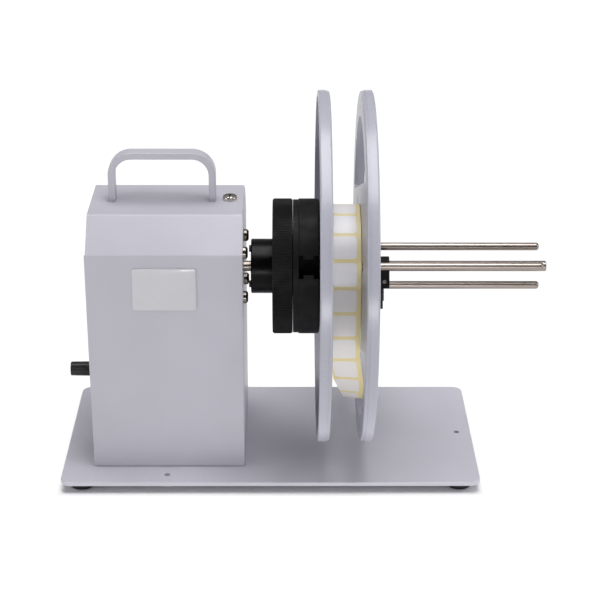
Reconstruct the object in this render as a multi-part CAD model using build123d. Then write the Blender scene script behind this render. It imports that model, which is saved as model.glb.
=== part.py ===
"""Bench rewinder for rolls of labels, driven by a small gear motor.

Frame: X runs along the spindle, from the housing to the free ends of the rods.  Y runs from the
operator's side to the back.  Z is up.  All sizes are millimetres.  The pieces are worked out about
the middle of the base plate's outline; save() then moves them so that the origin is the middle of
the whole machine's outline, on the bench.

The turning pieces are drawn in the spindle's own frame: x away from the operator, y up and z
along the spindle, so z there equals X here.  spindle_frame turns them into place.
"""
import os
from math import cos, radians, sin, sqrt

from build123d import *

os.makedirs("parts", exist_ok=True)

# ---------------------------------------------------------------- clearances
flat_gap = 0.2          # between plain faces that are screwed or dropped into place
slide_gap = 0.3         # between faces that slide past each other
run_gap = 0.05          # radial, shaft in a bore
screw_gap = 0.2         # radial, screw in a plain hole
thread_gap = 0.02       # radial, screw in its tapped hole
turn_gap = 0.3          # axial, between the scroll ring and its neighbours

# ---------------------------------------------------------------- base
base_length = 325.0
base_depth = 165.0
base_thickness = 3.0
base_corner_radius = 8.0
base_edge_round = 0.6
foot_diameter = 20.0
foot_height = 7.0
foot_inset = 15.5
foot_recess_depth = 3.5
foot_recess_diameter = 9.6
foot_edge = 1.0
foot_tap_cover = 0.8    # metal left above the feet's tapped holes
bench_hole_diameter = 4.5
bench_hole_left_x = -80.4
bench_hole_left_y = 70.0
bench_hole_right_x = 151.0

# ---------------------------------------------------------------- housing
housing_left = -138.3
housing_width = 118.0
housing_depth = 114.0
housing_height = 202.0
housing_bevel = 24.0
cover_thickness = 1.5
cover_bend_radius = 2.0
cover_foot_gap = 0.6
cover_reveal = 0.5
bevel_relief = 0.8
side_plate_right_thickness = 3.0
side_plate_left_thickness = 2.0
plate_foot_width = 18.0
plate_foot_screw_y = 36.0
plate_foot_screw_inset = 10.0
tab_width = 20.0
tab_depth = 24.0
rear_tab_height = 20.0
rear_tab_above_base = 60.0
rear_tab_screw_inset = 11.0
rear_screw_reach = 8.0
lid_screw_inset = 10.9
lid_screw_reach = 10.0
plate_foot_screw_reach = 4.0
past = 20.0             # how far a cutter runs past the sheet it cuts

# ---------------------------------------------------------------- handle and nameplate
handle_left_inset = 14.65   # from the housing's left edge to the handle's leg
handle_right_inset = 21.45
handle_height = 39.1
handle_bar_thickness = 5.2
handle_bar_width = 12.0
handle_bend_radius = 18.0
handle_edge_round = 0.7
handle_tap_depth = 12.0
nameplate_width = 48.2
nameplate_height = 33.8
nameplate_thickness = 1.6
nameplate_corner = 1.0
nameplate_below_bevel = 9.9

# ---------------------------------------------------------------- screws: shank, head, head height
screw_m3 = (3.0, 5.2, 2.4)
screw_m4 = (4.0, 8.0, 2.8)
screw_m5 = (5.0, 9.4, 3.7)
screw_m6 = (6.0, 11.2, 3.6)
recess_arm = 0.45       # cross recess, arm length as a share of the head
recess_width = 0.13
recess_depth = 0.5

# ---------------------------------------------------------------- drive
axis_above_base = 160.0
axis_behind_front = 25.0
spindle_tilt = 21.2     # degrees, turns one rod towards an operator who looks down at the spindle
gearbox_side = 44.0
gearbox_length = 34.0
gearbox_bolt_spacing = 36.0
gearbox_tap_depth = 8.0
gearbox_edge = 3.6
motor_diameter = 42.0
motor_length = 50.0
motor_cap_diameter = 22.0
motor_cap_length = 4.0
drive_shaft_diameter = 8.0
drive_shaft_flat = 0.8
drive_shaft_in_gearbox = 26.0
shaft_window_diameter = 14.0
pilot_hole_diameter = 2.6
pilot_hole_y = -48.0
pilot_hole_drops = (23.5, 29.6)

# ---------------------------------------------------------------- controls on the left plate
knob_y = -22.0
knob_above_base = 68.4
knob_diameter = 11.4
knob_tip_diameter = 11.0
knob_length = 15.4
knob_skirt_diameter = 15.0
knob_skirt_length = 1.8
knob_stand_off = 3.0
knob_flute_count = 18
knob_flute_radius = 0.6
knob_bore_depth = 10.0
pot_shaft_diameter = 6.0
pot_bush_diameter = 7.0
pot_bush_length = 4.6
pot_body_diameter = 17.0
pot_body_length = 9.0
pot_nut_size = 10.0
pot_nut_thickness = 2.0
switch_y = 24.0
switch_above_base = 68.4
switch_width = 15.0
switch_height = 21.0
switch_rim = 1.8
switch_rim_proud = 1.6
switch_body_depth = 15.0
switch_key_proud = 3.4
switch_key_end_gap = 1.0
inlet_y = 24.0
inlet_above_base = 34.0
inlet_diameter = 11.0
inlet_nut_diameter = 14.0
inlet_nut_thickness = 2.0
inlet_body_depth = 13.0
inlet_bore_diameter = 5.6
inlet_bore_depth = 9.5
inlet_pin_diameter = 2.0
board_height = 60.0
board_depth = 50.0
board_thickness = 1.6
board_y = 6.0
board_above_base = 135.0
board_stand_off = 6.0
board_hole_inset = 4.0
board_screw_proud = 1.5
post_diameter = 6.0
# parts on the board: middle along y and z, side and height
board_parts = ((-8.0, 12.0, 9.0, 12.0), (8.0, 14.0, 10.0, 16.0), (6.0, -12.0, 16.0, 7.0))

# ---------------------------------------------------------------- chuck, along the spindle
hub_stand_off = 5.8     # from the right plate to the hub
hub_length = 16.0
hub_diameter = 41.5
hub_edge = 1.0
hub_screw_circle = 30.8
hub_screw_proud = 1.5
hub_screw_reach = 8.0
grip_screw_position = 6.5
grip_screw_angles = (60.0, -60.0)
ring_length = 15.1
ring_diameter = 102.6
ring_bore = 38.1
ring_edge = 0.6
neck_length = 4.0
neck_diameter = 101.2
drum_length = 15.8
drum_diameter = 102.6
drum_corner = 2.0
drum_corner_left = 0.5
boss_diameter = 38.0
slot_width = 17.0
slot_rail_height = 2.8
slot_rail_start = 3.5
slot_rail_length = 7.5
slot_floor = 6.6
jaw_inner = 9.2
jaw_outer = 33.0
rod_angles = (180.0, 60.0, -60.0)

# ---------------------------------------------------------------- rods and centre shaft
rod_circle_radius = 17.0
rod_diameter = 6.0
rod_reach = 168.5       # from the drum's face to the rods' ends
rod_dome = 2.2
jaw_release = 2.0       # inward travel that frees the core
jaw_full_radius = 59.0  # where the rods stand for the widest core
centre_shaft_diameter = 8.0
centre_shaft_seat = 8.0     # from the hub's end into the boss
centre_shaft_reach = 4.2    # past the rods' ends
centre_shaft_edge = 0.5
centre_shaft_tap_diameter = 4.2
centre_shaft_tap_depth = 14.0

# ---------------------------------------------------------------- flanges
flange_diameter = 266.0
flange_step = 0.6
flange_web = 2.8
flange_lip_depth = 6.2
flange_lip_wall = 4.0
flange_edge = 1.3
flange_boss_height = 4.6
flange_boss_diameter = 92.0
window_outer_diameter = 227.0
window_sill = 61.0
window_corner = 4.0
rod_slot_width = 6.8
rod_slot_margin = 0.4
flange_screw_circle = 76.0
flange_screw_angles = (0.0, 120.0, 240.0)
flange_screw_reach = 8.0
flange_screw_head = 7.6

# ---------------------------------------------------------------- roll of labels
roll_width = 22.6
roll_gap = 0.3
core_bore_radius = 20.3
core_wall = 3.0
roll_radius = 46.9
label_layer = 0.6
tail_start_angle = 199.3
tail_straight = 2.4
tail_curl = 0.00232         # per mm, how sharply the web curls where the straight run ends
tail_curl_growth = 0.0001016    # per mm per mm
tail_length = 115.5
tail_drift = 4.0            # towards the rods' free ends
tail_twist = 6.0            # degrees
tail_swing_start = 50.0     # along the web, where drift and twist begin
tail_swing_length = 45.0
tail_sections = 14
tail_step = 0.5

# ---------------------------------------------------------------- clamp on the outer flange
clamp_sleeve_radius = 7.3
clamp_reach = 19.8      # from the web to the clamp's free end
clamp_block_drop = 17.0
clamp_block_front = 8.0
clamp_block_back = 4.0
clamp_corner = 2.7
clamp_ear_radius = 27.5
clamp_ear_width = 11.0
clamp_ear_thickness = 3.5
clamp_screw_circle = 44.0
clamp_screw_angles = (0.0, 120.0, 240.0)
lever_slot_width = 6.2
lever_slot_top = 7.4
lever_pin_drop = 12.0
lever_pin_inset = 3.8
lever_pin_diameter = 3.0
lever_head_radius = 3.4
lever_arm_length = 20.5
lever_arm_thickness = 2.4
lever_strip_thickness = 0.8
lever_strip_length = 11.0

# ---------------------------------------------------------------- places worked out from the sizes
base_top = foot_height + base_thickness
base_left = -base_length / 2
base_front = -base_depth / 2
housing_right = housing_left + housing_width
housing_front = -housing_depth / 2
housing_top = base_top + housing_height
axis_y = housing_front + axis_behind_front
axis_z = base_top + axis_above_base
plate_left_face = housing_left + bevel_relief + cover_reveal
plate_right_face = housing_right
plate_right_inside = plate_right_face - side_plate_right_thickness
plate_left_inside = plate_left_face + side_plate_left_thickness
handle_span = housing_width - handle_left_inset - handle_right_inset
handle_centre_x = housing_left + handle_left_inset + handle_span / 2
hub_start = housing_right + hub_stand_off
hub_end = hub_start + hub_length
ring_start = hub_end + turn_gap
ring_end = ring_start + ring_length
neck_start = ring_end + turn_gap
drum_start = neck_start + neck_length
drum_end = drum_start + drum_length
rod_end = drum_end + rod_reach
centre_shaft_start = hub_end + centre_shaft_seat
centre_shaft_end = rod_end + centre_shaft_reach
inner_web_back = drum_end + flange_boss_height
inner_web_face = inner_web_back + flange_web
roll_start = inner_web_face + roll_gap
roll_end = roll_start + roll_width
outer_web_face = roll_end + roll_gap
outer_web_back = outer_web_face + flange_web
clamp_end = outer_web_back + clamp_reach
flange_radius = flange_diameter / 2
rod_radius = rod_diameter / 2
outline_middle_x = (base_left + centre_shaft_end) / 2
outline_middle_y = axis_y
spindle_frame = Plane(
    origin=(0, axis_y, axis_z),
    x_dir=(0, cos(radians(spindle_tilt)), -sin(radians(spindle_tilt))),
    z_dir=(1, 0, 0),
)


# ---------------------------------------------------------------- helpers
def save(shape, name):
    """Move one sub-part into the machine's frame and write it under its node name."""
    shape = Pos(-outline_middle_x, -outline_middle_y, 0) * shape
    shape.label = name
    export_step(shape, f"parts/{name}.step")


def block(x0, x1, y0, y1, z0, z1):
    """A box between two opposite corners."""
    return Pos((x0 + x1) / 2, (y0 + y1) / 2, (z0 + z1) / 2) * Box(x1 - x0, y1 - y0, z1 - z0)


def disc(radius, z0, z1):
    """A cylinder about the local z axis, from z0 to z1."""
    return Pos(0, 0, (z0 + z1) / 2) * Cylinder(radius, z1 - z0)


def rod_along(direction, x, y, z, radius, length):
    """A cylinder that starts at a point and runs along a direction."""
    return Plane(origin=(x, y, z), z_dir=direction).location * disc(radius, 0, length)


def on_spindle(shape):
    """Put a shape drawn in the spindle's frame into place."""
    return spindle_frame.location * shape


def at_angle(angle, shape):
    """Turn a shape about the spindle."""
    return Rot(0, 0, angle) * shape


def pan_screw(size, reach, direction, x, y, z):
    """Pan head screw with a cross recess; the point is under the head, the shank runs along direction."""
    shank, head, height = size
    dome = Pos(0, 0, -height / 2) * Cylinder(head / 2, height)
    rim = dome.edges().group_by(Axis.Z)[0]
    dome = fillet(rim, height * 0.55)
    for turn in (0, 90):
        arm = Box(head * recess_arm * 2, head * recess_width, height * recess_depth * 2)
        dome -= Pos(0, 0, -height) * Rot(0, 0, turn) * arm
    screw = dome + disc(shank / 2, 0, reach)
    return Plane(origin=(x, y, z), z_dir=direction).location * screw


def cap_screw(size, reach, direction, x, y, z):
    """Socket head screw; the point is under the head, the shank runs along direction."""
    shank, head, height = size
    body = disc(head / 2, -height, 0) - disc(shank * 0.42, -height, -height * 0.4)
    body += disc(shank / 2, 0, reach)
    return Plane(origin=(x, y, z), z_dir=direction).location * body


def housing_profile(inset, bottom):
    """Side outline of the housing, moved inwards by a distance, in the YZ plane at X = 0."""
    corner = inset * (sqrt(2) - 1)
    half = housing_depth / 2 - inset
    top = housing_top - inset
    shoulder = housing_top - housing_bevel - corner
    half_top = housing_depth / 2 - housing_bevel - corner
    points = [
        (-half, bottom), (half, bottom), (half, shoulder),
        (half_top, top), (-half_top, top), (-half, shoulder),
    ]
    return Plane.YZ * make_face(Polyline(*points, close=True))


# ---------------------------------------------------------------- base plate and feet
def foot_places():
    """Middles of the four feet."""
    half_x = base_length / 2 - foot_inset
    half_y = base_depth / 2 - foot_inset
    return [(sx * half_x, sy * half_y) for sy in (-1, 1) for sx in (-1, 1)]


def plate_foot_places():
    """Screws that hold the two side plates to the base plate."""
    left = plate_left_face + plate_foot_screw_inset
    right = plate_right_face - plate_foot_screw_inset
    return [(x, sy * plate_foot_screw_y) for x in (left, right) for sy in (-1, 1)]


def make_base_plate():
    """Flat steel plate with rounded corners and three holes to bolt it to a bench."""
    plate = block(base_left, -base_left, base_front, -base_front, foot_height, base_top)
    plate = fillet(plate.edges().filter_by(Axis.Z), base_corner_radius)
    plate = fillet(plate.faces().sort_by(Axis.Z)[-1].edges(), base_edge_round)
    holes = [
        (bench_hole_left_x, -bench_hole_left_y),
        (bench_hole_left_x, bench_hole_left_y),
        (bench_hole_right_x, 0.0),
    ]
    for x, y in holes:
        plate -= rod_along((0, 0, 1), x, y, 0, bench_hole_diameter / 2, past)
    for x, y in plate_foot_places():
        plate -= rod_along((0, 0, 1), x, y, 0, screw_m4[0] / 2 + screw_gap, past)
    for x, y in foot_places():
        plate -= rod_along(
            (0, 0, 1), x, y, 0, screw_m4[0] / 2 + thread_gap, base_top - foot_tap_cover)
    save(plate, "base_plate")


def make_feet():
    """Four rubber feet, each with a sunk screw into the plate."""
    names = ("foot_front_left", "foot_front_right", "foot_back_left", "foot_back_right")
    screws = []
    for name, (x, y) in zip(names, foot_places()):
        foot = disc(foot_diameter / 2, 0, foot_height)
        foot = chamfer(foot.edges().group_by(Axis.Z)[0], foot_edge)
        foot -= disc(foot_recess_diameter / 2, -1, foot_recess_depth)
        foot -= disc(screw_m4[0] / 2 + screw_gap, 0, foot_height + 1)
        save(Pos(x, y, 0) * foot, name)
        reach = base_top - foot_recess_depth - foot_tap_cover - flat_gap
        screws.append(pan_screw(screw_m4, reach, (0, 0, 1), x, y, foot_recess_depth))
    save(Compound(children=screws), "foot_screws")


# ---------------------------------------------------------------- housing
def make_cover():
    """Folded sheet: front, bevel, top, bevel and back, open at both ends."""
    bottom = base_top + cover_foot_gap
    solid = extrude(housing_profile(0, bottom), amount=housing_width, dir=(1, 0, 0))
    creases = [e for e in solid.edges().filter_by(Axis.X) if e.center().Z > bottom + 1]
    solid = fillet(creases, cover_bend_radius)
    hollow = extrude(housing_profile(cover_thickness, bottom), amount=housing_width, dir=(1, 0, 0))
    hollow_creases = [e for e in hollow.edges().filter_by(Axis.X) if e.center().Z > bottom + 1]
    hollow = fillet(hollow_creases, cover_bend_radius - cover_thickness)
    cover = Pos(housing_left, 0, 0) * (solid - hollow - block(
        -1, housing_width + 1,
        -housing_depth / 2 + cover_thickness, housing_depth / 2 - cover_thickness,
        0, base_top + 5))
    # the right edge stands back from the side plate, and the bevel and top are a little narrower
    cover -= block(
        housing_right - cover_reveal, housing_right + 1,
        -housing_depth, housing_depth, 0, housing_top + 1)
    relief_bottom = housing_top - housing_bevel
    cover -= block(
        housing_left - 1, housing_left + bevel_relief,
        -housing_depth, housing_depth, relief_bottom, housing_top + 1)
    cover -= block(
        housing_left - 1, housing_left + bevel_relief,
        housing_depth / 2 - housing_bevel, housing_depth, 0, housing_top + 1)
    for x in handle_leg_places():
        cover -= rod_along(
            (0, 0, 1), x, 0, housing_top - 5, screw_m3[0] / 2 + screw_gap, 10)
    cover -= rod_along(
        (0, 0, 1), housing_right - lid_screw_inset, 0, housing_top - 5,
        screw_m6[0] / 2 + screw_gap, 10)
    for x, z in rear_screw_places():
        cover -= rod_along(
            (0, 1, 0), x, housing_depth / 2 - 5, z, screw_m4[0] / 2 + screw_gap, 10)
    save(cover, "housing_cover")


def rear_screw_places():
    """Screws through the back of the cover into the side plates' rear tabs."""
    z = base_top + rear_tab_above_base + rear_tab_height / 2
    left = plate_left_face + rear_tab_screw_inset
    right = plate_right_face - rear_tab_screw_inset
    return [(left, z), (right, z)]


def side_plate(face, inside, into):
    """One side plate with a turned-in foot and a rear tab; into is +1 or -1, towards the inside."""
    inset = cover_thickness + flat_gap
    thickness = abs(inside - face)
    outline = housing_profile(inset, base_top)
    plate = extrude(outline, amount=thickness, dir=(into, 0, 0))
    plate = Pos(face, 0, 0) * plate
    half = housing_depth / 2 - inset
    reach = face + into * plate_foot_width
    foot = block(
        min(face, reach), max(face, reach), -half + 8, half - 8,
        base_top, base_top + thickness)
    tab_reach = face + into * tab_width
    tab_bottom = base_top + rear_tab_above_base
    tab = block(
        min(face, tab_reach), max(face, tab_reach), half - thickness, half,
        tab_bottom, tab_bottom + rear_tab_height)
    return plate + foot + tab


def make_side_plates():
    """Left plate with the controls; thicker right plate that carries the drive."""
    left = side_plate(plate_left_face, plate_left_inside, 1)
    right = side_plate(plate_right_face, plate_right_inside, -1)
    inset = cover_thickness + flat_gap
    top = housing_top - inset
    lid_tab = block(
        plate_right_face - tab_width, plate_right_face, -tab_depth / 2, tab_depth / 2,
        top - side_plate_right_thickness, top)
    right += lid_tab
    right -= rod_along(
        (0, 0, 1), housing_right - lid_screw_inset, 0, top - 10,
        screw_m6[0] / 2 + thread_gap, past)
    for x, y in plate_foot_places():
        hole = rod_along((0, 0, 1), x, y, 0, screw_m4[0] / 2 + thread_gap, base_top + 8)
        left -= hole
        right -= hole
    for x, z in rear_screw_places():
        hole = rod_along(
            (0, 1, 0), x, housing_depth / 2 - past, z, screw_m4[0] / 2 + thread_gap, past)
        left -= hole
        right -= hole
    # drive side
    right -= rod_along(
        (-1, 0, 0), plate_right_face + 1, axis_y, axis_z, shaft_window_diameter / 2, past)
    for y, z in motor_screw_places():
        right -= rod_along(
            (-1, 0, 0), plate_right_face + 1, y, z, screw_m5[0] / 2 + screw_gap, past)
    for drop in pilot_hole_drops:
        right -= rod_along(
            (-1, 0, 0), plate_right_face + 1, pilot_hole_y, axis_z - drop,
            pilot_hole_diameter / 2, past)
    # control side
    left -= rod_along(
        (1, 0, 0), plate_left_face - 1, knob_y, base_top + knob_above_base,
        pot_bush_diameter / 2 + screw_gap, past)
    left -= block(
        plate_left_face - 1, plate_left_face + past,
        switch_y - switch_width / 2 - flat_gap, switch_y + switch_width / 2 + flat_gap,
        base_top + switch_above_base - switch_height / 2 - flat_gap,
        base_top + switch_above_base + switch_height / 2 + flat_gap)
    left -= rod_along(
        (1, 0, 0), plate_left_face - 1, inlet_y, base_top + inlet_above_base,
        inlet_diameter / 2 + screw_gap, past)
    for y, z in board_hole_places():
        left -= rod_along(
            (1, 0, 0), plate_left_face - 1, y, z, screw_m3[0] / 2 + screw_gap, past)
    save(left, "side_plate_left")
    save(right, "side_plate_right")


def make_housing_screws():
    """Screws under the base plate, at the back of the cover and the big one on its top."""
    under = []
    for x, y in plate_foot_places():
        reach = base_thickness + plate_foot_screw_reach
        under.append(pan_screw(screw_m4, reach, (0, 0, 1), x, y, foot_height))
    save(Compound(children=under), "plate_foot_screws")
    rear = []
    for x, z in rear_screw_places():
        rear.append(pan_screw(
            screw_m4, rear_screw_reach, (0, -1, 0), x, housing_depth / 2, z))
    save(Compound(children=rear), "cover_rear_screws")
    lid = pan_screw(
        screw_m6, lid_screw_reach, (0, 0, -1), housing_right - lid_screw_inset, 0, housing_top)
    save(lid, "cover_top_screw")


# ---------------------------------------------------------------- carry handle and nameplate
def handle_leg_places():
    """Middles of the two legs along X."""
    half = handle_span / 2 - handle_bar_thickness / 2
    return (handle_centre_x - half, handle_centre_x + half)


def make_handle():
    """Flat bar bent into a flat-topped arch; its legs stand on the cover and are tapped."""
    def arch(inset):
        half = handle_span / 2 - inset
        top = housing_top + handle_height - inset
        radius = handle_bend_radius - inset
        outline = Polyline(
            (-half, housing_top), (-half, top), (half, top), (half, housing_top), close=True)
        face = make_face(outline)
        corners = [v for v in face.vertices() if v.Y > housing_top + 1]
        return fillet(corners, radius)

    face = Plane.XZ * (arch(0) - arch(handle_bar_thickness))
    bar = extrude(face, amount=handle_bar_width / 2, both=True)
    bar = Pos(handle_centre_x, 0, 0) * bar
    long_edges = [e for e in bar.edges() if e.center().Z > housing_top + 0.5]
    long_edges = [e for e in long_edges if abs(abs(e.center().Y) - handle_bar_width / 2) < 0.01]
    bar = fillet(long_edges, handle_edge_round)
    screws = []
    for x in handle_leg_places():
        bar -= rod_along(
            (0, 0, 1), x, 0, housing_top - 1, screw_m3[0] / 2 + thread_gap, handle_tap_depth + 1)
        screws.append(pan_screw(
            screw_m3, cover_thickness + handle_tap_depth - 2, (0, 0, 1),
            x, 0, housing_top - cover_thickness))
    save(bar, "carry_handle")
    save(Compound(children=screws), "handle_screws")


def make_nameplate():
    """Domed plate on the housing's front, left plain."""
    plate = Box(nameplate_width, nameplate_thickness, nameplate_height)
    plate = fillet(plate.edges().filter_by(Axis.Y), nameplate_corner)
    plate = fillet(plate.faces().sort_by(Axis.Y)[0].edges(), 0.6)
    x = housing_left + housing_width / 2
    z = housing_top - housing_bevel - nameplate_below_bevel - nameplate_height / 2
    save(Pos(x, housing_front - nameplate_thickness / 2, z) * plate, "nameplate")


# ---------------------------------------------------------------- drive
def motor_screw_places():
    """Four screws on a square about the spindle, as (y, z)."""
    half = gearbox_bolt_spacing / 2
    return [(axis_y + sy * half, axis_z + sz * half) for sy in (-1, 1) for sz in (-1, 1)]


def make_drive():
    """Gear motor behind the right plate, its four screws and its output shaft."""
    face = plate_right_inside
    back = face - gearbox_length
    half = gearbox_side / 2
    box = block(back, face, axis_y - half, axis_y + half, axis_z - half, axis_z + half)
    box = chamfer(box.edges().filter_by(Axis.X), gearbox_edge)
    box -= rod_along(
        (-1, 0, 0), face + 1, axis_y, axis_z,
        drive_shaft_diameter / 2 + run_gap, drive_shaft_in_gearbox + 2)
    for y, z in motor_screw_places():
        box -= rod_along(
            (-1, 0, 0), face + 1, y, z, screw_m5[0] / 2 + thread_gap, gearbox_tap_depth + 2)
    save(box, "gearbox")
    motor = rod_along((-1, 0, 0), back, axis_y, axis_z, motor_diameter / 2, motor_length)
    motor += rod_along(
        (-1, 0, 0), back - motor_length, axis_y, axis_z,
        motor_cap_diameter / 2, motor_cap_length)
    save(motor, "drive_motor")
    reach = side_plate_right_thickness + gearbox_tap_depth - 1
    screws = [
        pan_screw(screw_m5, reach, (-1, 0, 0), plate_right_face, y, z)
        for y, z in motor_screw_places()
    ]
    save(Compound(children=screws), "motor_screws")


# ---------------------------------------------------------------- controls
def board_hole_places():
    """Screws of the control board, as (y, z)."""
    half_y = board_depth / 2 - board_hole_inset
    half_z = board_height / 2 - board_hole_inset
    z = base_top + board_above_base
    return [(board_y + sy * half_y, z + sz * half_z) for sy in (-1, 1) for sz in (-1, 1)]


def make_speed_control():
    """Potentiometer, its nut and the fluted knob, all on one line along X."""
    z = base_top + knob_above_base
    face = plate_left_face
    inside = plate_left_inside
    knob_base = face - knob_stand_off
    knob_tip = knob_base - knob_skirt_length - knob_length
    shaft_end = knob_base - knob_bore_depth + 1
    pot = rod_along((1, 0, 0), inside, knob_y, z, pot_body_diameter / 2, pot_body_length)
    pot += rod_along((-1, 0, 0), inside, knob_y, z, pot_bush_diameter / 2, pot_bush_length)
    pot += rod_along(
        (-1, 0, 0), inside, knob_y, z, pot_shaft_diameter / 2, inside - shaft_end)
    save(pot, "potentiometer")
    nut = extrude(RegularPolygon(pot_nut_size / 2, 6, major_radius=False), pot_nut_thickness)
    nut -= disc(pot_bush_diameter / 2 + thread_gap, -1, pot_nut_thickness + 1)
    save(Plane(origin=(face, knob_y, z), z_dir=(-1, 0, 0)).location * nut, "potentiometer_nut")
    # the knob is drawn with its tip at z = 0 and its skirt at the far end
    total = knob_skirt_length + knob_length
    knob = Cone(knob_tip_diameter / 2, knob_diameter / 2, knob_length)
    knob = Pos(0, 0, knob_length / 2) * knob
    for i in range(knob_flute_count):
        angle = 360 * i / knob_flute_count
        groove = Pos(knob_diameter / 2 + knob_flute_radius * 0.3, 0, knob_length / 2)
        knob -= Rot(0, 0, angle) * groove * Cylinder(knob_flute_radius, knob_length + 2)
    skirt = Pos(0, 0, knob_length + knob_skirt_length / 2)
    knob += skirt * Cone(knob_diameter / 2, knob_skirt_diameter / 2, knob_skirt_length)
    knob = chamfer(knob.edges().group_by(Axis.Z)[0], 0.3)
    bore = disc(pot_shaft_diameter / 2 + run_gap, total - knob_bore_depth, total + 1)
    knob -= bore
    place = Plane(origin=(knob_tip, knob_y, z), z_dir=(1, 0, 0)).location
    save(place * knob, "speed_knob")


def make_power_controls():
    """Rocker switch and the low-voltage inlet below it; no cord is fitted."""
    face = plate_left_face
    z = base_top + switch_above_base
    half_w = switch_width / 2
    half_h = switch_height / 2
    rim = block(
        face - switch_rim_proud, face,
        switch_y - half_w - switch_rim, switch_y + half_w + switch_rim,
        z - half_h - switch_rim, z + half_h + switch_rim)
    body = block(
        face, face + switch_body_depth,
        switch_y - half_w, switch_y + half_w, z - half_h, z + half_h)
    well = block(
        face - switch_rim_proud - 1, face + switch_body_depth - 3,
        switch_y - half_w + switch_rim, switch_y + half_w - switch_rim,
        z - half_h + switch_rim, z + half_h - switch_rim)
    save(rim + body - well, "rocker_frame")
    # the key is a shallow V that tips about an axis along Y
    key_half_h = half_h - switch_rim - switch_key_end_gap
    key_half_w = half_w - switch_rim - slide_gap
    tip = switch_key_proud
    points = [
        (-key_half_h, -tip * 0.35), (0, -tip * 0.55), (key_half_h, -tip),
        (key_half_h * 0.86, 3.2), (0, 7.0), (-key_half_h * 0.86, 3.2),
    ]
    outline = make_face(Polyline(*[(x, h) for h, x in points], close=True))
    key = extrude(Plane.XZ * outline, amount=key_half_w, both=True)
    save(Pos(face, switch_y, z) * key, "rocker_key")
    z = base_top + inlet_above_base
    inlet = rod_along((1, 0, 0), face - 1.6, inlet_y, z, inlet_diameter / 2, inlet_body_depth)
    inlet += rod_along((-1, 0, 0), face, inlet_y, z, inlet_nut_diameter / 2, 1.6)
    inlet -= rod_along(
        (1, 0, 0), face - 2.6, inlet_y, z, inlet_bore_diameter / 2, inlet_bore_depth + 1)
    inlet += rod_along(
        (1, 0, 0), face - 0.6, inlet_y, z, inlet_pin_diameter / 2, inlet_bore_depth)
    save(inlet, "power_inlet")
    nut = rod_along(
        (1, 0, 0), plate_left_inside, inlet_y, z, inlet_nut_diameter / 2, inlet_nut_thickness)
    nut -= rod_along(
        (1, 0, 0), plate_left_inside - 1, inlet_y, z,
        inlet_diameter / 2 + thread_gap, inlet_nut_thickness + 2)
    save(nut, "inlet_nut")


def make_board():
    """Motor control board on four posts behind the left plate."""
    posts = []
    screws = []
    start = plate_left_inside
    board_face = start + board_stand_off
    z = base_top + board_above_base
    board = block(
        board_face, board_face + board_thickness,
        board_y - board_depth / 2, board_y + board_depth / 2,
        z - board_height / 2, z + board_height / 2)
    for y, hole_z in board_hole_places():
        board -= rod_along(
            (1, 0, 0), board_face - 1, y, hole_z, screw_m3[0] / 2 + screw_gap, 5)
        post = rod_along((1, 0, 0), start, y, hole_z, post_diameter / 2, board_stand_off)
        post -= rod_along(
            (1, 0, 0), start - 1, y, hole_z, screw_m3[0] / 2 + screw_gap, board_stand_off + 2)
        posts.append(post)
        screws.append(pan_screw(
            screw_m3, board_stand_off + board_thickness + board_screw_proud, (-1, 0, 0),
            board_face + board_thickness, y, hole_z))
    for y, dz, size, height in board_parts:
        board += block(
            board_face + board_thickness, board_face + board_thickness + height,
            board_y + y - size / 2, board_y + y + size / 2,
            z + dz - size / 2, z + dz + size / 2)
    save(board, "control_board")
    save(Compound(children=posts), "board_posts")
    save(Compound(children=screws), "board_screws")


# ---------------------------------------------------------------- chuck
def make_hub():
    """Small hub that grips the motor's shaft and carries the chuck."""
    hub = disc(hub_diameter / 2, hub_start, hub_end)
    hub = fillet(hub.edges().group_by(Axis.Z)[0], hub_edge)
    hub -= disc(drive_shaft_diameter / 2 + thread_gap, hub_start - 1, hub_end + 1)
    head_depth = screw_m3[2] - hub_screw_proud
    grip_z = hub_start + grip_screw_position
    screws = []
    for angle in hub_screw_angles():
        place = Pos(hub_screw_circle / 2, 0, 0)
        hub -= at_angle(angle, place * disc(
            screw_m3[1] / 2 + screw_gap, hub_start - 1, hub_start + head_depth))
        hub -= at_angle(angle, place * disc(
            screw_m3[0] / 2 + screw_gap, hub_start - 1, hub_end + 1))
        reach = hub_length - head_depth + hub_screw_reach
        screw = cap_screw(
            screw_m3, reach, (0, 0, 1), hub_screw_circle / 2, 0, hub_start + head_depth)
        screws.append(on_spindle(at_angle(angle, screw)))
    grips = []
    for angle in grip_screw_angles:
        start = drive_shaft_diameter / 2 - drive_shaft_flat * (angle == grip_screw_angles[0])
        length = hub_diameter / 2 - 0.6 - start
        hub -= at_angle(angle, rod_along(
            (1, 0, 0), 0, 0, grip_z, screw_m4[0] / 2 + thread_gap, hub_diameter))
        grip = rod_along((1, 0, 0), start, 0, grip_z, screw_m4[0] / 2, length)
        grip -= rod_along((1, 0, 0), start + length - 2, 0, grip_z, 1.0, 3)
        grips.append(on_spindle(at_angle(angle, grip)))
    save(on_spindle(hub), "chuck_hub")
    save(Compound(children=screws), "hub_screws")
    save(Compound(children=grips), "hub_grip_screws")


def hub_screw_angles():
    """Hub screws lie between the rods."""
    return [angle + 180 for angle in rod_angles]


def make_drive_shaft():
    """Output shaft with a flat for the first grip screw."""
    start = plate_right_inside - drive_shaft_in_gearbox
    end = centre_shaft_start - 1
    shaft = disc(drive_shaft_diameter / 2, start, end)
    flat = block(
        drive_shaft_diameter / 2 - drive_shaft_flat, drive_shaft_diameter,
        -drive_shaft_diameter, drive_shaft_diameter, hub_start + 1, end + 1)
    save(on_spindle(shaft - at_angle(grip_screw_angles[0], flat)), "drive_shaft")


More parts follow.
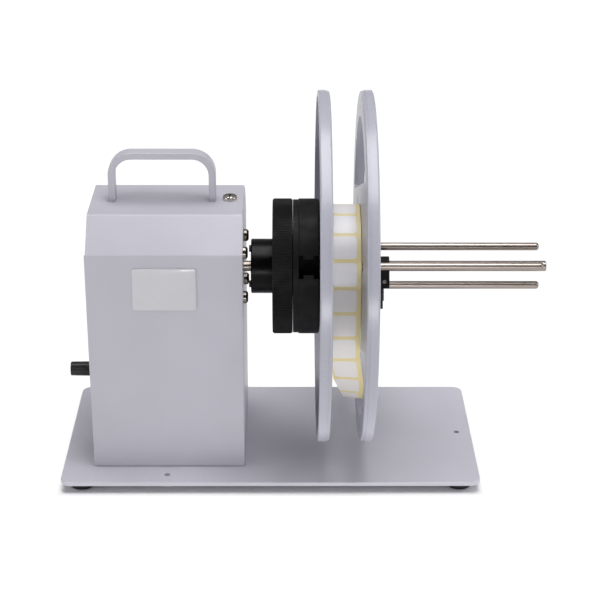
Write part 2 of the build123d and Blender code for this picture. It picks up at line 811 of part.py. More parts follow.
def jaw_slot(extra):
    """T-shaped radial slot of the drum, along local +x; extra widens or narrows it."""
    wide = slot_width / 2 + extra
    narrow = slot_width / 2 - slot_rail_height + extra
    rail_start = drum_start + slot_rail_start
    rail_end = rail_start + slot_rail_length
    return wide, narrow, rail_start, rail_end


def make_chuck_body():
    """Drum with three radial slots, a neck and a boss that the scroll ring turns on."""
    drum = disc(drum_diameter / 2, drum_start, drum_end)
    drum = fillet(drum.edges().group_by(Axis.Z)[-1], drum_corner)
    drum = chamfer(drum.edges().group_by(Axis.Z)[0], drum_corner_left)
    body = drum + disc(neck_diameter / 2, neck_start, drum_start)
    body += disc(boss_diameter / 2, hub_end, neck_start)
    wide, narrow, rail_start, rail_end = jaw_slot(0)
    for angle in rod_angles:
        slot = block(slot_floor, drum_diameter, -narrow, narrow, drum_start, drum_end + 1)
        slot += block(slot_floor, drum_diameter, -wide, wide, drum_start, rail_start)
        slot += block(slot_floor, drum_diameter, -wide, wide, rail_end, drum_end + 1)
        body -= at_angle(angle, slot)
    body -= disc(drive_shaft_diameter / 2 + thread_gap, hub_end - 1, centre_shaft_start)
    body -= disc(centre_shaft_diameter / 2 + thread_gap, centre_shaft_start - 1, drum_end + 1)
    for angle in hub_screw_angles():
        body -= at_angle(angle, Pos(hub_screw_circle / 2, 0, 0) * disc(
            screw_m3[0] / 2 + thread_gap, hub_end - 1, hub_end + hub_screw_reach + 1))
    for angle in flange_screw_angles:
        body -= at_angle(angle, Pos(flange_screw_circle / 2, 0, 0) * disc(
            screw_m4[0] / 2 + thread_gap, drum_end - flange_screw_reach - 1, drum_end + 1))
    save(on_spindle(body), "chuck_body")


def make_scroll_ring():
    """Knurled ring that moves the three jaws together."""
    ring = disc(ring_diameter / 2, ring_start, ring_end)
    ring = chamfer(ring.edges(), ring_edge)
    ring -= disc(ring_bore / 2, ring_start - 1, ring_end + 1)
    save(on_spindle(ring), "scroll_ring")


def make_jaws_and_rods():
    """Three sliding jaws, each with a rod that grips the roll's core from inside."""
    wide, narrow, rail_start, rail_end = jaw_slot(-slide_gap)
    jaw_start = drum_start + slide_gap
    jaw_end = drum_end - slide_gap
    for number, angle in enumerate(rod_angles, start=1):
        jaw = block(jaw_inner, jaw_outer, -wide, wide, jaw_start, jaw_end)
        for side in (-1, 1):
            inner = side * narrow
            outer = side * (wide + 1)
            jaw -= block(
                jaw_inner - 1, jaw_outer + 1, min(inner, outer), max(inner, outer),
                rail_start - slide_gap, rail_end + slide_gap)
        place = Pos(rod_circle_radius, 0, 0)
        seat = jaw_start + 1.5
        jaw -= place * disc(rod_radius + thread_gap, seat, jaw_end + 1)
        rod = disc(rod_radius, seat, rod_end)
        rod = fillet(rod.edges().group_by(Axis.Z)[-1], rod_dome)
        save(on_spindle(at_angle(angle, jaw)), f"jaw_{number}")
        save(on_spindle(at_angle(angle, place * rod)), f"rod_{number}")


def make_centre_shaft():
    """Plain bar in the middle of the chuck, tapped in its free end."""
    shaft = disc(centre_shaft_diameter / 2, centre_shaft_start, centre_shaft_end)
    shaft = chamfer(shaft.edges().group_by(Axis.Z)[-1], centre_shaft_edge)
    shaft -= disc(
        centre_shaft_tap_diameter / 2, centre_shaft_end - centre_shaft_tap_depth,
        centre_shaft_end + 1)
    save(on_spindle(shaft), "centre_shaft")


# ---------------------------------------------------------------- flanges
def flange_window():
    """D-shaped window above the spindle: straight sill below, round above."""
    radius = window_outer_diameter / 2
    window = Circle(radius) - Pos(0, -radius) * Rectangle(4 * radius, 2 * radius + 2 * window_sill)
    return fillet(window.vertices(), window_corner)


def flange_disc():
    """Dished disc in local z: the roll's face is at z = 0 and the lip stands out along +z."""
    lip_end = flange_web + flange_lip_depth
    rim = disc(flange_radius, flange_web, lip_end)
    rim = fillet(rim.edges().group_by(Axis.Z)[-1], flange_edge)
    rim -= disc(flange_radius - flange_lip_wall, flange_web - 1, lip_end + 1)
    web = disc(flange_radius - flange_step, 0, flange_web)
    web = fillet(web.edges().group_by(Axis.Z)[0], flange_edge)
    window = extrude(Pos(0, 0, -1) * flange_window(), amount=flange_web + 2)
    flange = web + rim - window - Rot(0, 0, 180) * window
    return flange


def rod_slots(depth_from, depth_to):
    """Radial slots that the rods pass through, long enough for the widest core."""
    inner = rod_circle_radius - jaw_release - rod_slot_margin
    outer = jaw_full_radius
    cuts = []
    for angle in rod_angles:
        half = rod_slot_width / 2
        slot = block(inner, outer, -half, half, depth_from, depth_to)
        slot += Pos(inner, 0, 0) * disc(half, depth_from, depth_to)
        slot += Pos(outer, 0, 0) * disc(half, depth_from, depth_to)
        cuts.append(at_angle(angle, slot))
    return cuts


def make_inner_flange():
    """Fixed flange, screwed to the drum through its boss; its lip points to the housing."""
    flange = Pos(0, 0, inner_web_face) * Rot(180, 0, 0) * flange_disc()
    flange += disc(flange_boss_diameter / 2, drum_end, inner_web_back)
    flange -= disc(centre_shaft_diameter / 2 + run_gap, drum_end - 1, inner_web_face + 1)
    for slot in rod_slots(drum_end - 1, inner_web_face + 1):
        flange -= slot
    screws = []
    for angle in flange_screw_angles:
        place = Pos(flange_screw_circle / 2, 0, 0)
        sink = screw_m4[2]
        flange -= at_angle(angle, place * disc(
            screw_m4[0] / 2 + screw_gap, drum_end - 1, inner_web_face + 1))
        flange -= at_angle(angle, place * disc(
            flange_screw_head / 2 + screw_gap, inner_web_face - sink, inner_web_face + 1))
        reach = inner_web_face - sink - drum_end + flange_screw_reach
        size = (screw_m4[0], flange_screw_head, sink - flat_gap)
        screw = cap_screw(size, reach, (0, 0, -1), flange_screw_circle / 2, 0, inner_web_face - sink)
        screws.append(on_spindle(at_angle(angle, screw)))
    save(on_spindle(flange), "inner_flange")
    save(Compound(children=screws), "inner_flange_screws")


def make_outer_flange():
    """Sliding flange, the inner one's mirror image without its boss."""
    flange = Pos(0, 0, outer_web_face) * flange_disc()
    flange -= disc(centre_shaft_diameter / 2 + run_gap, outer_web_face - 1, outer_web_back + 1)
    for slot in rod_slots(outer_web_face - 1, outer_web_back + 1):
        flange -= slot
    for angle in clamp_screw_angles:
        flange -= at_angle(angle, Pos(clamp_screw_circle / 2, 0, 0) * disc(
            screw_m3[0] / 2 + thread_gap, outer_web_face - 1, outer_web_back + 1))
    save(on_spindle(flange), "outer_flange")


# ---------------------------------------------------------------- clamp
def make_clamp():
    """Sleeve with three ears on the outer flange, and a lever that locks it to the shaft."""
    start = outer_web_back
    hub = disc(clamp_sleeve_radius, start, clamp_end)
    drop = block(
        -clamp_block_front, clamp_block_back, -clamp_block_drop, 0, start, clamp_end)
    corner = (clamp_end, -clamp_block_drop)
    wedge = make_face(Polyline(
        (corner[0], corner[1]), (corner[0] - clamp_corner, corner[1]),
        (corner[0], corner[1] + 2 * clamp_corner), close=True))
    wedge = Plane(origin=(0, 0, 0), x_dir=(0, 0, 1), z_dir=(1, 0, 0)) * wedge
    drop -= extrude(wedge, amount=clamp_block_drop, both=True)
    hub += drop
    screws = []
    for angle in clamp_screw_angles:
        ear = block(0, clamp_ear_radius - clamp_ear_width / 2, -clamp_ear_width / 2,
                    clamp_ear_width / 2, start, start + clamp_ear_thickness)
        ear += Pos(clamp_ear_radius - clamp_ear_width / 2, 0, 0) * disc(
            clamp_ear_width / 2, start, start + clamp_ear_thickness)
        hub += at_angle(angle, ear)
    for angle in clamp_screw_angles:
        place = Pos(clamp_screw_circle / 2, 0, 0)
        hub -= at_angle(angle, place * disc(
            screw_m3[0] / 2 + screw_gap, start - 1, start + clamp_ear_thickness + 1))
        screw = cap_screw(
            screw_m3, clamp_ear_thickness + flange_web - 0.4, (0, 0, -1),
            clamp_screw_circle / 2, 0, start + clamp_ear_thickness)
        screws.append(on_spindle(at_angle(angle, screw)))
    hub -= disc(centre_shaft_diameter / 2 + run_gap, start - 1, clamp_end + 1)
    pin_z = clamp_end - lever_pin_inset
    slot_half = lever_slot_width / 2
    slot_x = (clamp_block_back - clamp_block_front) / 2
    hub -= block(
        slot_x - slot_half, slot_x + slot_half, -clamp_block_drop - 1, -lever_slot_top,
        pin_z - lever_head_radius - slide_gap, clamp_end + 1)
    hub -= rod_along(
        (1, 0, 0), -clamp_block_front - 1, -lever_pin_drop, pin_z,
        lever_pin_diameter / 2 + thread_gap, clamp_block_front + clamp_block_back + 2)
    pin = rod_along(
        (1, 0, 0), -clamp_block_front, -lever_pin_drop, pin_z,
        lever_pin_diameter / 2, clamp_block_front + clamp_block_back)
    save(on_spindle(hub), "clamp_hub")
    save(Compound(children=screws), "clamp_hub_screws")
    save(on_spindle(pin), "clamp_pin")
    # lever: a round head about the pin and a thin arm that hangs beside the flange
    half = slot_half - slide_gap
    head = rod_along(
        (1, 0, 0), slot_x - half, -lever_pin_drop, pin_z, lever_head_radius, 2 * half)
    arm_end = -lever_pin_drop - lever_arm_length
    arm_start_z = pin_z - lever_head_radius
    lever = head + block(
        slot_x - half, slot_x + half, arm_end, -lever_pin_drop,
        arm_start_z, arm_start_z + lever_arm_thickness)
    lever -= rod_along(
        (1, 0, 0), slot_x - half - 1, -lever_pin_drop, pin_z,
        lever_pin_diameter / 2 + run_gap, 2 * half + 2)
    strip_start = arm_start_z + lever_arm_thickness
    strip = block(
        slot_x - half, slot_x + half,
        -lever_pin_drop - lever_head_radius - lever_strip_length, -lever_pin_drop - lever_head_radius,
        strip_start, strip_start + lever_strip_thickness)
    save(on_spindle(lever), "clamp_lever")
    save(on_spindle(strip), "clamp_lever_strip")


# ---------------------------------------------------------------- roll of labels
def make_label_roll():
    """Card core, wound web and the loose last lap that hangs at the front."""
    core = disc(core_bore_radius + core_wall, roll_start, roll_end)
    core -= disc(core_bore_radius, roll_start - 1, roll_end + 1)
    save(on_spindle(core), "label_core")
    inner = core_bore_radius + core_wall + thread_gap
    roll = disc(roll_radius, roll_start, roll_end) - disc(inner, roll_start - 1, roll_end + 1)
    save(on_spindle(roll), "label_roll")
    # the tail leaves the roll at a tangent and curls slowly under it
    tail = loft([tail_section(tail_length * i / tail_sections) for i in range(tail_sections + 1)],
                ruled=True)
    save(on_spindle(tail), "label_tail")


def tail_turn(along):
    """How far the web has curled, in radians, at a distance along it."""
    past_bend = max(along - tail_straight, 0)
    return tail_curl * past_bend + tail_curl_growth * past_bend ** 2 / 2


def tail_section(along):
    """The web's cut across its width at a distance along it, in the spindle's frame."""
    start = radians(tail_start_angle)
    x = roll_radius * cos(start)
    y = roll_radius * sin(start)
    steps = round(along / tail_step)
    for i in range(steps):
        heading = start + tail_turn((i + 0.5) * along / steps)
        x -= sin(heading) * along / steps
        y += cos(heading) * along / steps
    heading = start + tail_turn(along)
    share = min(max((along - tail_swing_start) / tail_swing_length, 0), 1)
    swing = share ** 2 * (3 - 2 * share)
    twist = radians(tail_twist) * swing
    outward = Vector(cos(heading), sin(heading), 0)
    across = Vector(0, 0, cos(twist)) + outward * sin(twist)
    z = roll_start + roll_width / 2 + tail_drift * swing
    middle = Vector(x, y, z) + outward * (label_layer / 2)
    cut = Plane(origin=middle, x_dir=across, z_dir=(-sin(heading), cos(heading), 0))
    return cut * Rectangle(roll_width, label_layer)


# ---------------------------------------------------------------- build
make_base_plate()
make_feet()
make_cover()
make_side_plates()
make_housing_screws()
make_handle()
make_nameplate()
make_drive()
make_speed_control()
make_power_controls()
make_board()
make_hub()
make_drive_shaft()
make_chuck_body()
make_scroll_ring()
make_jaws_and_rods()
make_centre_shaft()
make_inner_flange()
make_outer_flange()
make_clamp()
make_label_roll()
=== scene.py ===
"""Looks of the bench rewinder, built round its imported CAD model, in metres and in the same frame."""
import math
import random

import bmesh
import bpy
from mathutils import Matrix, Vector


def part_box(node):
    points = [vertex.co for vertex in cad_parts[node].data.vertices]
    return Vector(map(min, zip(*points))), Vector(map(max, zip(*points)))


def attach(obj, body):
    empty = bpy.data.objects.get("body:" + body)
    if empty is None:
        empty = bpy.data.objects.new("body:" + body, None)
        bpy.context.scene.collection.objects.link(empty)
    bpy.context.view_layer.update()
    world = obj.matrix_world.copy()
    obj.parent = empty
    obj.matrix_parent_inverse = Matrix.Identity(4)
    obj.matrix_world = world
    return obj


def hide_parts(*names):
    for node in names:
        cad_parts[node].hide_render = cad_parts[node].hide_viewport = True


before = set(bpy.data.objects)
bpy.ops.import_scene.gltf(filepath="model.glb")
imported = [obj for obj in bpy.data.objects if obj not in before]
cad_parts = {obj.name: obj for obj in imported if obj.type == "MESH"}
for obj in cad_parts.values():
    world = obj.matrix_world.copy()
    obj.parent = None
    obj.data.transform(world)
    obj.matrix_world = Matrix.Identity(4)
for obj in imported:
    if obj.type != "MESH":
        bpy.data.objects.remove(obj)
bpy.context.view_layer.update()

MM = 0.001

# ---------------------------------------------------------------- camera
# A long lens in front of the machine and a little above it, as in the product photograph.
# Its place, its angle and its lens were fitted to the machine's known edges.
camera_place = Vector((-10.682, -1171.088, 654.678)) * MM
camera_down = math.radians(23.656)
camera_turn = 0.0083
camera_roll = 0.0035
camera_lens = 99.95

forward = Vector((
    math.sin(camera_turn) * math.cos(camera_down),
    math.cos(camera_turn) * math.cos(camera_down),
    -math.sin(camera_down),
))
level = Vector((math.cos(camera_turn), -math.sin(camera_turn), 0.0))
above = level.cross(forward)
right = math.cos(camera_roll) * level + math.sin(camera_roll) * above
up = math.cos(camera_roll) * above - math.sin(camera_roll) * level
lens = bpy.data.cameras.new("camera")
lens.sensor_width = 36.0
lens.lens = camera_lens
lens.clip_start = 0.05
lens.clip_end = 50.0
camera = bpy.data.objects.new("camera", lens)
camera.matrix_world = Matrix((
    (right.x, up.x, -forward.x, camera_place.x),
    (right.y, up.y, -forward.y, camera_place.y),
    (right.z, up.z, -forward.z, camera_place.z),
    (0.0, 0.0, 0.0, 1.0),
))
bpy.context.scene.collection.objects.link(camera)
bpy.context.scene.camera = camera
bpy.context.scene.view_settings.view_transform = "Standard"


# ---------------------------------------------------------------- studio
# A white table that lights the machine from below, a large soft light overhead, a weak one low
# in front for the web between the flanges, and one at each side.
# The room round the camera is dark, which is what the glossy black pieces mirror.
room_white = "#FFFFFF"
room_back = 0.3             # light from the wall behind the machine
room_front_glossy = 0.06    # what glossy surfaces see of the room in front
room_front_diffuse = 0.08   # what dull surfaces see of it
room_turn = (0.18, 0.45)    # how far back a direction points where front gives way to wall
floor_glow = 1.05           # light that the table sends up
floor_fade = (-0.004, 0.006)    # m past the footprint's edge, where shadow gives way to white
floor_white = "#F4F4F6"
floor_half = 6.0
footprint_middle = (-0.0236, 0.032)
footprint_half = (0.1625, 0.0825)
soft_lights = (
    # name, place, size, power, aimed at
    ("overhead", (0.03, -0.06, 1.55), (0.7, 1.3), 18.5, (-0.02, 0.03, 0.15)),
    ("low_front", (0.05, -1.00, 0.10), (0.4, 0.15), 1.8, (0.02, -0.05, 0.12)),
    ("from_right", (1.43, -0.32, 0.75), (1.0, 1.0), 8.0, (-0.02, 0.03, 0.15)),
    ("from_left", (-1.47, -0.82, 0.70), (1.0, 1.0), 5.0, (-0.02, 0.03, 0.10)),
)


def linear(code):
    """A colour written as sRGB hex, as linear RGBA."""
    parts = [int(code[i:i + 2], 16) / 255 for i in (1, 3, 5)]
    return [p / 12.92 if p <= 0.04045 else ((p + 0.055) / 1.055) ** 2.4 for p in parts] + [1.0]


def add(tree, kind, settings, inputs):
    """One node, with its settings, and its inputs as values or as other nodes' outputs."""
    node = tree.nodes.new(kind)
    for name, value in settings.items():
        setattr(node, name, value)
    for name, value in inputs.items():
        if isinstance(value, bpy.types.NodeSocket):
            tree.links.new(value, node.inputs[name])
        else:
            node.inputs[name].default_value = value
    return node


world = bpy.data.worlds.new("studio")
world.use_nodes = True
tree = world.node_tree
tree.nodes.clear()
ray = add(tree, "ShaderNodeLightPath", {}, {})
way = add(tree, "ShaderNodeTexCoord", {}, {})
split = add(tree, "ShaderNodeSeparateXYZ", {}, {"Vector": way.outputs["Generated"]})
behind = add(tree, "ShaderNodeMapRange", {"interpolation_type": "SMOOTHSTEP"}, {
    "Value": split.outputs["Y"], "From Min": room_turn[0], "From Max": room_turn[1]})
front = add(tree, "ShaderNodeMix", {"data_type": "FLOAT"}, {
    "Factor": ray.outputs["Is Glossy Ray"], "A": room_front_diffuse, "B": room_front_glossy})
strength = add(tree, "ShaderNodeMix", {"data_type": "FLOAT"}, {
    "Factor": behind.outputs["Result"], "A": front.outputs[0], "B": room_back})
seen = add(tree, "ShaderNodeMath", {"operation": "MAXIMUM"}, {
    0: ray.outputs["Is Camera Ray"], 1: strength.outputs[0]})
sky = add(tree, "ShaderNodeBackground", {}, {
    "Color": linear(room_white), "Strength": seen.outputs[0]})
add(tree, "ShaderNodeOutputWorld", {}, {"Surface": sky.outputs[0]})
bpy.context.scene.world = world

for name, place, size, power, target in soft_lights:
    lamp = bpy.data.lights.new(name, "AREA")
    lamp.shape = "RECTANGLE"
    lamp.size, lamp.size_y = size
    lamp.energy = power
    lamp_object = bpy.data.objects.new(name, lamp)
    aim = Vector(target) - Vector(place)
    lamp_object.location = place
    lamp_object.visible_camera = False  # no lamp shows in any view
    lamp_object.rotation_euler = aim.to_track_quat("-Z", "Y").to_euler()
    bpy.context.scene.collection.objects.link(lamp_object)

# The floor shows as plain white a little way from the machine, and keeps the shadow close to it.
floor_finish = bpy.data.materials.new("white_table")
floor_finish.use_nodes = True
tree = floor_finish.node_tree
tree.nodes.clear()
ray = add(tree, "ShaderNodeLightPath", {}, {})
place = add(tree, "ShaderNodeTexCoord", {}, {})
split = add(tree, "ShaderNodeSeparateXYZ", {}, {"Vector": place.outputs["Object"]})
edges = []
for axis, middle, half in zip("XY", footprint_middle, footprint_half):
    offset = add(tree, "ShaderNodeMath", {"operation": "SUBTRACT"}, {
        0: split.outputs[axis], 1: middle})
    away = add(tree, "ShaderNodeMath", {"operation": "ABSOLUTE"}, {0: offset.outputs[0]})
    edges.append(add(tree, "ShaderNodeMath", {"operation": "SUBTRACT"}, {
        0: away.outputs[0], 1: half}))
outside = add(tree, "ShaderNodeMath", {"operation": "MAXIMUM"}, {
    0: edges[0].outputs[0], 1: edges[1].outputs[0]})
fade = add(tree, "ShaderNodeMapRange", {"interpolation_type": "SMOOTHSTEP"}, {
    "Value": outside.outputs[0], "From Min": floor_fade[0], "From Max": floor_fade[1]})
paper = add(tree, "ShaderNodeBsdfDiffuse", {}, {"Color": linear(floor_white)})
brightness = add(tree, "ShaderNodeMath", {"operation": "MAXIMUM"}, {
    0: ray.outputs["Is Camera Ray"], 1: floor_glow})
glow = add(tree, "ShaderNodeEmission", {}, {
    "Color": linear(room_white), "Strength": brightness.outputs[0]})
mix = add(tree, "ShaderNodeMixShader", {}, {
    0: fade.outputs["Result"], 1: paper.outputs[0], 2: glow.outputs[0]})
add(tree, "ShaderNodeOutputMaterial", {}, {"Surface": mix.outputs[0]})
floor_mesh = bpy.data.meshes.new("floor")
floor_mesh.from_pydata(
    [(-floor_half, -floor_half, 0), (floor_half, -floor_half, 0),
     (floor_half, floor_half, 0), (-floor_half, floor_half, 0)], [], [(0, 1, 2, 3)])
floor_mesh.materials.append(floor_finish)
floor = bpy.data.objects.new("floor", floor_mesh)
bpy.context.scene.collection.objects.link(floor)


# ---------------------------------------------------------------- base plate
# A 3 mm steel plate, laser cut with rounded corners, sprayed with light grey powder and baked.
# Powder coat is satin, with a faint orange peel and a fine speckle where the grains melted.
powder_grey = "#CAC8D2"
powder_peel = 1.6       # mm between the waves of the orange peel
powder_speckle = 0.5    # mm, drawn coarser than the real grains so that it shows
powder_cloud = 45.0     # mm, wide soft mottling of the coat


def new_material(name):
    """An empty material with its output node; returns it and its tree."""
    material = bpy.data.materials.new(name)
    material.use_nodes = True
    material.node_tree.nodes.clear()
    return material, material.node_tree


def powder_coat(name, code, roughness, peel_depth):
    """Baked powder paint on steel: soft highlight, orange peel, slight mottling."""
    material, tree = new_material(name)
    place = add(tree, "ShaderNodeTexCoord", {}, {})
    cloud = add(tree, "ShaderNodeTexNoise", {}, {
        "Vector": place.outputs["Object"], "Scale": 1 / (powder_cloud * MM), "Detail": 2.0})
    grain = add(tree, "ShaderNodeTexNoise", {}, {
        "Vector": place.outputs["Object"], "Scale": 1 / (powder_speckle * MM), "Detail": 1.0})
    peel = add(tree, "ShaderNodeTexNoise", {}, {
        "Vector": place.outputs["Object"], "Scale": 1 / (powder_peel * MM), "Detail": 1.0})
    both = add(tree, "ShaderNodeMix", {"data_type": "FLOAT"}, {
        "Factor": 0.4, "A": cloud.outputs["Fac"], "B": grain.outputs["Fac"]})
    shade = add(tree, "ShaderNodeMapRange", {}, {
        "Value": both.outputs[0], "From Min": 0.3, "From Max": 0.7,
        "To Min": 0.955, "To Max": 1.045})
    colour = add(tree, "ShaderNodeVectorMath", {"operation": "SCALE"}, {
        0: linear(code)[:3], "Scale": shade.outputs["Result"]})
    rough = add(tree, "ShaderNodeMapRange", {}, {
        "Value": grain.outputs["Fac"], "From Min": 0.3, "From Max": 0.7,
        "To Min": roughness - 0.05, "To Max": roughness + 0.05})
    bump = add(tree, "ShaderNodeBump", {}, {
        "Height": peel.outputs["Fac"], "Strength": 1.0, "Distance": peel_depth * MM})
    paint = add(tree, "ShaderNodeBsdfPrincipled", {}, {
        "Base Color": colour.outputs[0], "Roughness": rough.outputs["Result"],
        "Normal": bump.outputs[0], "IOR": 1.5})
    add(tree, "ShaderNodeOutputMaterial", {}, {"Surface": paint.outputs[0]})
    return material


def dress(material, *names):
    """Give CAD nodes their material."""
    for name in names:
        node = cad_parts[name]
        if not node.material_slots:
            node.data.materials.append(material)
        for slot in node.material_slots:
            slot.material = material


base_paint = powder_coat("grey_powder_coat_base", powder_grey, 0.30, 0.006)
dress(base_paint, "base_plate")


# ---------------------------------------------------------------- feet
# Four moulded rubber feet under the plate, each with a sunk screw.
# The rubber is dull black, with a fine moulded grain.
rubber_black = "#141313"
rubber_grain = 0.6      # mm


def moulded(name, code, roughness, grain, depth):
    """Moulded rubber or plastic: one colour with a fine grain."""
    material, tree = new_material(name)
    place = add(tree, "ShaderNodeTexCoord", {}, {})
    fine = add(tree, "ShaderNodeTexNoise", {}, {
        "Vector": place.outputs["Object"], "Scale": 1 / (grain * MM), "Detail": 2.0})
    shade = add(tree, "ShaderNodeMapRange", {}, {
        "Value": fine.outputs["Fac"], "To Min": 0.85, "To Max": 1.15})
    colour = add(tree, "ShaderNodeVectorMath", {"operation": "SCALE"}, {
        0: linear(code)[:3], "Scale": shade.outputs["Result"]})
    bump = add(tree, "ShaderNodeBump", {}, {
        "Height": fine.outputs["Fac"], "Strength": 1.0, "Distance": depth * MM})
    skin = add(tree, "ShaderNodeBsdfPrincipled", {}, {
        "Base Color": colour.outputs[0], "Roughness": roughness, "Normal": bump.outputs[0]})
    add(tree, "ShaderNodeOutputMaterial", {}, {"Surface": skin.outputs[0]})
    return material


rubber = moulded("moulded_rubber", rubber_black, 0.75, rubber_grain, 0.02)
dress(rubber, "foot_front_left", "foot_front_right", "foot_back_left", "foot_back_right")


# ---------------------------------------------------------------- plated screws
# Pressed steel screws with cross recesses, bright nickel or zinc plated.
# The plating is smooth, with a slight haze from the pressed blank under it.
nickel = "#C9C5BC"
nickel_dark = "#77706A"
zinc = "#B4B6B8"


def plated(name, code, roughness, haze):
    """Bright plating on steel; haze is the size of its soft patches in mm."""
    material, tree = new_material(name)
    place = add(tree, "ShaderNodeTexCoord", {}, {})
    patch = add(tree, "ShaderNodeTexNoise", {}, {
        "Vector": place.outputs["Object"], "Scale": 1 / (haze * MM), "Detail": 3.0})
    rough = add(tree, "ShaderNodeMapRange", {}, {
        "Value": patch.outputs["Fac"], "From Min": 0.3, "From Max": 0.7,
        "To Min": roughness * 0.7, "To Max": roughness * 1.4})
    metal = add(tree, "ShaderNodeBsdfPrincipled", {}, {
        "Base Color": linear(code), "Metallic": 1.0, "Roughness": rough.outputs["Result"]})
    add(tree, "ShaderNodeOutputMaterial", {}, {"Surface": metal.outputs[0]})
    return material


nickel_plate = plated("nickel_plate", nickel, 0.16, 2.0)
dark_nickel = plated("dark_nickel_plate", nickel_dark, 0.2, 2.0)
zinc_plate = plated("zinc_plate", zinc, 0.28, 1.5)
dress(nickel_plate, "cover_top_screw")
dress(dark_nickel, "motor_screws")
dress(zinc_plate, "foot_screws", "plate_foot_screws", "cover_rear_screws", "handle_screws",
      "potentiometer_nut", "inlet_nut", "board_posts", "board_screws")


# ---------------------------------------------------------------- housing and handle
# The cover is one folded 1.5 mm sheet over two side plates, and the handle a bent flat bar.
# All are powder coated in the same paint as the base; their grey is painted darker than the base's
# grey, which is painted shade.
housing_grey_painted_shade = "#BBB9C3"
shaded_housing_paint = powder_coat("grey_powder_coat_housing_painted_shade", housing_grey_painted_shade, 0.34, 0.008)
dress(shaded_housing_paint, "housing_cover", "side_plate_left", "side_plate_right", "carry_handle")


# ---------------------------------------------------------------- nameplate
# A white plate under clear domed resin, stuck on the front of the housing; it is left blank.
# The resin crowns in the middle and thins to a rounded edge, so it catches a soft highlight.
plate_white = "#C8C7CD"
plate_crown = 0.9       # mm, rise of the resin over its edge
plate_corner = 2.0      # mm
plate_steps = 28


def crowned_plate(name, low, high, crown, corner, steps):
    """A plate that faces -Y with rounded corners and a crowned front, between two corners."""
    mid_x = (low.x + high.x) / 2
    mid_z = (low.z + high.z) / 2
    half_x = (high.x - low.x) / 2
    half_z = (high.z - low.z) / 2
    back = high.y
    edge = low.y + crown
    mesh = bmesh.new()
    grid = []
    for j in range(steps + 1):
        row = []
        for i in range(steps + 1):
            u = math.sin((2 * i / steps - 1) * math.pi / 2)
            v = math.sin((2 * j / steps - 1) * math.pi / 2)
            x = u * half_x
            z = v * half_z
            # pull the corners in to their radius
            over_x = abs(x) - (half_x - corner)
            over_z = abs(z) - (half_z - corner)
            if over_x > 0 and over_z > 0:
                reach = math.hypot(over_x, over_z)
                limit = max(over_x, over_z)
                x = math.copysign(half_x - corner + over_x * limit / reach, x)
                z = math.copysign(half_z - corner + over_z * limit / reach, z)
            rise = ((1 - u ** 4) * (1 - v ** 4)) ** 0.4
            row.append(mesh.verts.new((mid_x + x, edge - crown * rise, mid_z + z)))
        grid.append(row)
    for j in range(steps):
        for i in range(steps):
            mesh.faces.new((grid[j][i], grid[j][i + 1], grid[j + 1][i + 1], grid[j + 1][i]))
    rim = (grid[0][:-1] + [row[-1] for row in grid[:-1]]
           + grid[-1][:0:-1] + [row[0] for row in grid[:0:-1]])
    rear = [mesh.verts.new((v.co.x, back, v.co.z)) for v in rim]
    count = len(rim)
    for i in range(count):
        j = (i + 1) % count
        mesh.faces.new((rim[j], rim[i], rear[i], rear[j]))
    mesh.faces.new(rear[::-1])
    bmesh.ops.recalc_face_normals(mesh, faces=mesh.faces)
    data = bpy.data.meshes.new(name)
    mesh.to_mesh(data)
    mesh.free()
    return data


def new_piece(name, data, materials, body):
    """Link a finished mesh as a piece that rides on a body."""
    for material in materials:
        data.materials.append(material)
    piece = bpy.data.objects.new(name, data)
    bpy.context.scene.collection.objects.link(piece)
    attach(piece, body)
    return piece


def smooth(data, angle):
    """Smooth shading, with edges sharper than the angle kept sharp."""
    data.shade_smooth()
    data.set_sharp_from_angle(angle=math.radians(angle))


resin, tree = new_material("clear_domed_resin")
place = add(tree, "ShaderNodeTexCoord", {}, {})
fleck = add(tree, "ShaderNodeTexNoise", {}, {
    "Vector": place.outputs["Object"], "Scale": 1 / (6 * MM), "Detail": 2.0})
shade = add(tree, "ShaderNodeMapRange", {}, {
    "Value": fleck.outputs["Fac"], "To Min": 0.97, "To Max": 1.03})
colour = add(tree, "ShaderNodeVectorMath", {"operation": "SCALE"}, {
    0: linear(plate_white)[:3], "Scale": shade.outputs["Result"]})
skin = add(tree, "ShaderNodeBsdfPrincipled", {}, {
    "Base Color": colour.outputs[0], "Roughness": 0.25, "Coat Weight": 0.6,
    "Coat Roughness": 0.05})
add(tree, "ShaderNodeOutputMaterial", {}, {"Surface": skin.outputs[0]})
plate_low, plate_high = (Vector(corner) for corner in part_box("nameplate"))
plate_data = crowned_plate(
    "nameplate_dome", plate_low, plate_high, plate_crown * MM, plate_corner * MM, plate_steps)
smooth(plate_data, 40)
nameplate = new_piece("nameplate_dome", plate_data, [resin], "frame")
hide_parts("nameplate")


# ---------------------------------------------------------------- controls
# The knob, the rocker switch and the inlet are moulded in black plastic.
# Moulded ABS has an even, slightly glossy skin.
abs_black = "#131113"
abs_plastic = moulded("black_moulded_abs", abs_black, 0.38, 0.5, 0.006)
dress(abs_plastic, "speed_knob", "rocker_frame", "rocker_key", "power_inlet")


# ---------------------------------------------------------------- drive inside the housing
# A die-cast gearbox with a painted motor can behind it, and the circuit board that feeds it.
# None of it shows from outside, but each piece has its own finish.
cast_grey = "#9C9DA0"
can_black = "#1B1B1D"
board_green = "#14532D"
cast_alloy = plated("bare_die_cast_alloy", cast_grey, 0.45, 1.2)
can_paint = powder_coat("black_painted_can", can_black, 0.5, 0.008)
board_mask = moulded("solder_mask", board_green, 0.35, 1.2, 0.01)
dress(cast_alloy, "gearbox", "potentiometer")
dress(can_paint, "drive_motor")
dress(board_mask, "control_board")


